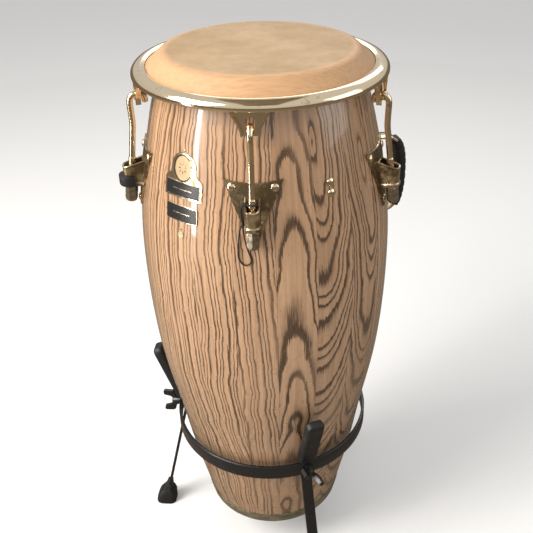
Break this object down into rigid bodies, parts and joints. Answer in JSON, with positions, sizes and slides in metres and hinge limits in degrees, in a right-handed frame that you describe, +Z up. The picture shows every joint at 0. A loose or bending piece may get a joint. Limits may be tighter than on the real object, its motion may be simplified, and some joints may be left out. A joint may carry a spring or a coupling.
{
  "type": "conga drum in a cradle stand",
  "caption": "Tall barrel-shaped stave drum with a tuned hide head, tension lugs and side handle, standing in a splayed cradle stand with rubber feet.",
  "frame": {"origin": "middle of the footprint on the floor", "axes": "+Z up along the drum axis, -Y towards the front lug and the badges, +X to the player-side handle"},
  "size_m": [0.4213, 0.3822, 0.842],
  "materials": {
    "wood": "clear gloss lacquer over light ash with dark open grain",
    "hide": "dry rawhide, warm tan, lightly worn",
    "gold": "polished pale gold plating with some wear",
    "rubber": "matt black moulded rubber",
    "black_paint": "satin black paint",
    "worn_band": "dull, chipped grey-green edge band",
    "badge": "gold relief on near-black fields",
    "disc": "pale green, slightly glossy",
    "cord": "braided black cord",
    "hoop": "plain dark steel"
  },
  "bodies": {
    "stand": {"stand_ring": "black_paint", "leg_bar_1": "black_paint", "leg_bar_2": "black_paint", "leg_bar_3": "black_paint", "arm_pad_1": "rubber", "arm_pad_2": "rubber", "arm_pad_3": "rubber", "foot_boot_1": "rubber", "foot_boot_2": "rubber", "foot_boot_3": "rubber"},
    "drum": {"shell": "wood", "bottom_band": "worn_band", "side_plate_1": "gold", "side_plate_2": "gold", "side_plate_3": "gold", "side_plate_4": "gold", "side_plate_5": "gold", "plate_bolts_1": "gold", "plate_bolts_2": "gold", "plate_bolts_3": "gold", "plate_bolts_4": "gold", "plate_bolts_5": "gold", "rubber_bumper": "rubber", "washer_1": "gold", "washer_2": "gold", "washer_3": "gold", "washer_4": "gold", "washer_5": "gold", "handle": "gold", "handle_grip": "rubber", "handle_bolts": "gold", "badge_upper": "badge", "badge_lower": "badge", "round_disc": "disc", "spare_bolts": "gold", "cord_wrap": "cord", "hang_cord": "cord"},
    "tuned_head": {"rim": "gold", "skin": "hide", "flesh_hoop": "hoop"},
    "tension_rod_1": {"rod_1": "gold"},
    "tension_nut_1": {"nut_1": "gold"},
    "tension_rod_2": {"rod_2": "gold"},
    "tension_nut_2": {"nut_2": "gold"},
    "tension_rod_3": {"rod_3": "gold"},
    "tension_nut_3": {"nut_3": "gold"},
    "tension_rod_4": {"rod_4": "gold"},
    "tension_nut_4": {"nut_4": "gold"},
    "tension_rod_5": {"rod_5": "gold"},
    "tension_nut_5": {"nut_5": "gold"},
    "clamp_bolt_1": {"wing_bolt_1": "black_paint"},
    "clamp_bolt_2": {"wing_bolt_2": "black_paint"},
    "clamp_bolt_3": {"wing_bolt_3": "black_paint"}
  },
  "joints": [
    {"name": "drum_lift", "type": "slide", "parent": "stand", "child": "drum", "axis": [0, 0, 1], "range_m": [0, 0.3]},
    {"name": "nut_1_turn", "type": "hinge", "parent": "drum", "child": "tension_nut_1", "pos_m": [-0.17224, -0.0254, 0.6725], "axis": [-0.1204, -0.0278, -0.9923], "range_deg": [0, 1800]},
    {"name": "nut_2_turn", "type": "hinge", "parent": "drum", "child": "tension_nut_2", "pos_m": [-0.01094, -0.16561, 0.6725], "axis": [-0.0108, -0.1231, -0.9923], "range_deg": [0, 1800]},
    {"name": "nut_3_turn", "type": "hinge", "parent": "drum", "child": "tension_nut_3", "pos_m": [0.17225, -0.05554, 0.6725], "axis": [0.1138, -0.0483, -0.9923], "range_deg": [0, 1800]},
    {"name": "nut_4_turn", "type": "hinge", "parent": "drum", "child": "tension_nut_4", "pos_m": [0.12417, 0.15271, 0.6725], "axis": [0.0811, 0.0933, -0.9923], "range_deg": [0, 1800]},
    {"name": "nut_5_turn", "type": "hinge", "parent": "drum", "child": "tension_nut_5", "pos_m": [-0.08873, 0.17133, 0.6725], "axis": [-0.0637, 0.1059, -0.9923], "range_deg": [0, 1800]},
    {"name": "head_travel", "type": "slide", "parent": "drum", "child": "tuned_head", "axis": [0, 0, 1], "range_m": [0, 0.007]},
    {"name": "rod_1_travel", "type": "slide", "parent": "drum", "child": "tension_rod_1", "axis": [0.1204, 0.0278, 0.9923], "range_m": [0, 0.0071]},
    {"name": "rod_2_travel", "type": "slide", "parent": "drum", "child": "tension_rod_2", "axis": [0.0108, 0.1231, 0.9923], "range_m": [0, 0.0071]},
    {"name": "rod_3_travel", "type": "slide", "parent": "drum", "child": "tension_rod_3", "axis": [-0.1138, 0.0483, 0.9923], "range_m": [0, 0.0071]},
    {"name": "rod_4_travel", "type": "slide", "parent": "drum", "child": "tension_rod_4", "axis": [-0.0811, -0.0933, 0.9923], "range_m": [0, 0.0071]},
    {"name": "rod_5_travel", "type": "slide", "parent": "drum", "child": "tension_rod_5", "axis": [0.0637, -0.1059, 0.9923], "range_m": [0, 0.0071]},
    {"name": "clamp_bolt_1_turn", "type": "hinge", "parent": "stand", "child": "clamp_bolt_1", "pos_m": [0.05547, -0.1289, 0.2385], "axis": [0.3305, -0.9438, 0], "range_deg": [0, 1080]},
    {"name": "clamp_bolt_2_turn", "type": "hinge", "parent": "stand", "child": "clamp_bolt_2", "pos_m": [-0.14696, 0.03415, 0.2385], "axis": [-0.9925, 0.1219, 0], "range_deg": [0, 1080]},
    {"name": "clamp_bolt_3_turn", "type": "hinge", "parent": "stand", "child": "clamp_bolt_3", "pos_m": [0.10325, 0.1327, 0.2385], "axis": [0.6428, 0.766, 0], "range_deg": [0, 1080]}
  ],
  "couplings": [
    {"joint": "nut_1_turn", "follows": "head_travel", "rad_per_m": 4487.4},
    {"joint": "nut_2_turn", "follows": "head_travel", "rad_per_m": 4487.4},
    {"joint": "nut_3_turn", "follows": "head_travel", "rad_per_m": 4487.4},
    {"joint": "nut_4_turn", "follows": "head_travel", "rad_per_m": 4487.4},
    {"joint": "nut_5_turn", "follows": "head_travel", "rad_per_m": 4487.4},
    {"joint": "rod_1_travel", "follows": "head_travel", "ratio": 1.0077},
    {"joint": "rod_2_travel", "follows": "head_travel", "ratio": 1.0077},
    {"joint": "rod_3_travel", "follows": "head_travel", "ratio": 1.0077},
    {"joint": "rod_4_travel", "follows": "head_travel", "ratio": 1.0077},
    {"joint": "rod_5_travel", "follows": "head_travel", "ratio": 1.0077}
  ]
}
